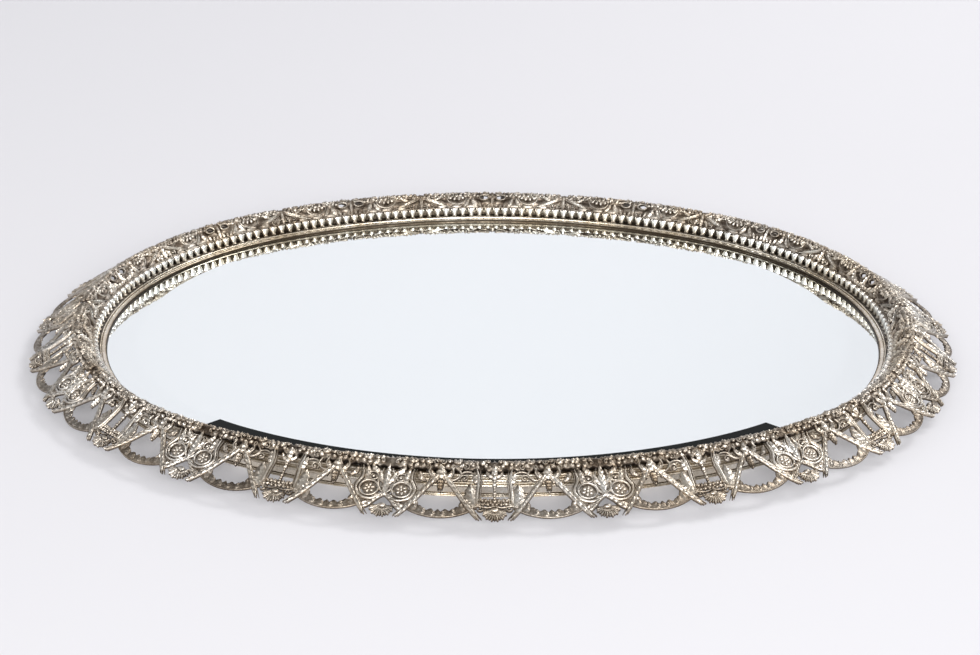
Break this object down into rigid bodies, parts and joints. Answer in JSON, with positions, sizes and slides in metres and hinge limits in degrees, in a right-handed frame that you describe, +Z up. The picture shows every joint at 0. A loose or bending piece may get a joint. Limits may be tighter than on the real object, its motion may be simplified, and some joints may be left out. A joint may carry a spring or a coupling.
{
  "type": "mirror plateau vanity tray",
  "caption": "Low oval mirror tray: a bevelled mirror on a backed board, in a rim with a bead gallery and a sloping pierced border with scalloped edges.",
  "frame": {"origin": "on the table under the middle of the oval", "axes": "+X along the length, +Y towards the back, +Z up"},
  "size_m": [0.6, 0.52, 0.0255],
  "materials": {
    "mirror_glass": "silvered bevelled plate glass",
    "silver_castings": "silver plate, dark warm tarnish in the hollows, bright high points",
    "silver_rings": "polished silver plate with yellow-brown tarnish",
    "silver_gallery": "polished silver plate, dark between the knobs",
    "wood": "thin stained board",
    "paper": "plain packing paper",
    "baize": "green wool baize",
    "brass_screws": "slotted brass"
  },
  "bodies": {
    "root": {"mirror_plate": "mirror_glass", "packing_sheet": "paper", "backing_board": "wood", "baize_cover": "baize", "base_wall": "silver_rings", "rim_ring": "silver_rings", "reeded_band": "silver_rings", "bead_gallery_front": "silver_gallery", "bead_gallery_right": "silver_gallery", "bead_gallery_back": "silver_gallery", "bead_gallery_left": "silver_gallery", "border_section_01": "silver_castings", "border_section_02": "silver_castings", "border_section_03": "silver_castings", "border_section_04": "silver_castings", "border_section_05": "silver_castings", "border_section_06": "silver_castings", "border_section_07": "silver_castings", "border_section_08": "silver_castings", "border_section_09": "silver_castings", "border_section_10": "silver_castings", "border_section_11": "silver_castings", "border_section_12": "silver_castings", "border_section_13": "silver_castings", "border_section_14": "silver_castings", "board_posts": "silver_rings", "board_screws": "brass_screws", "section_screws": "brass_screws"}
  },
  "joints": []
}
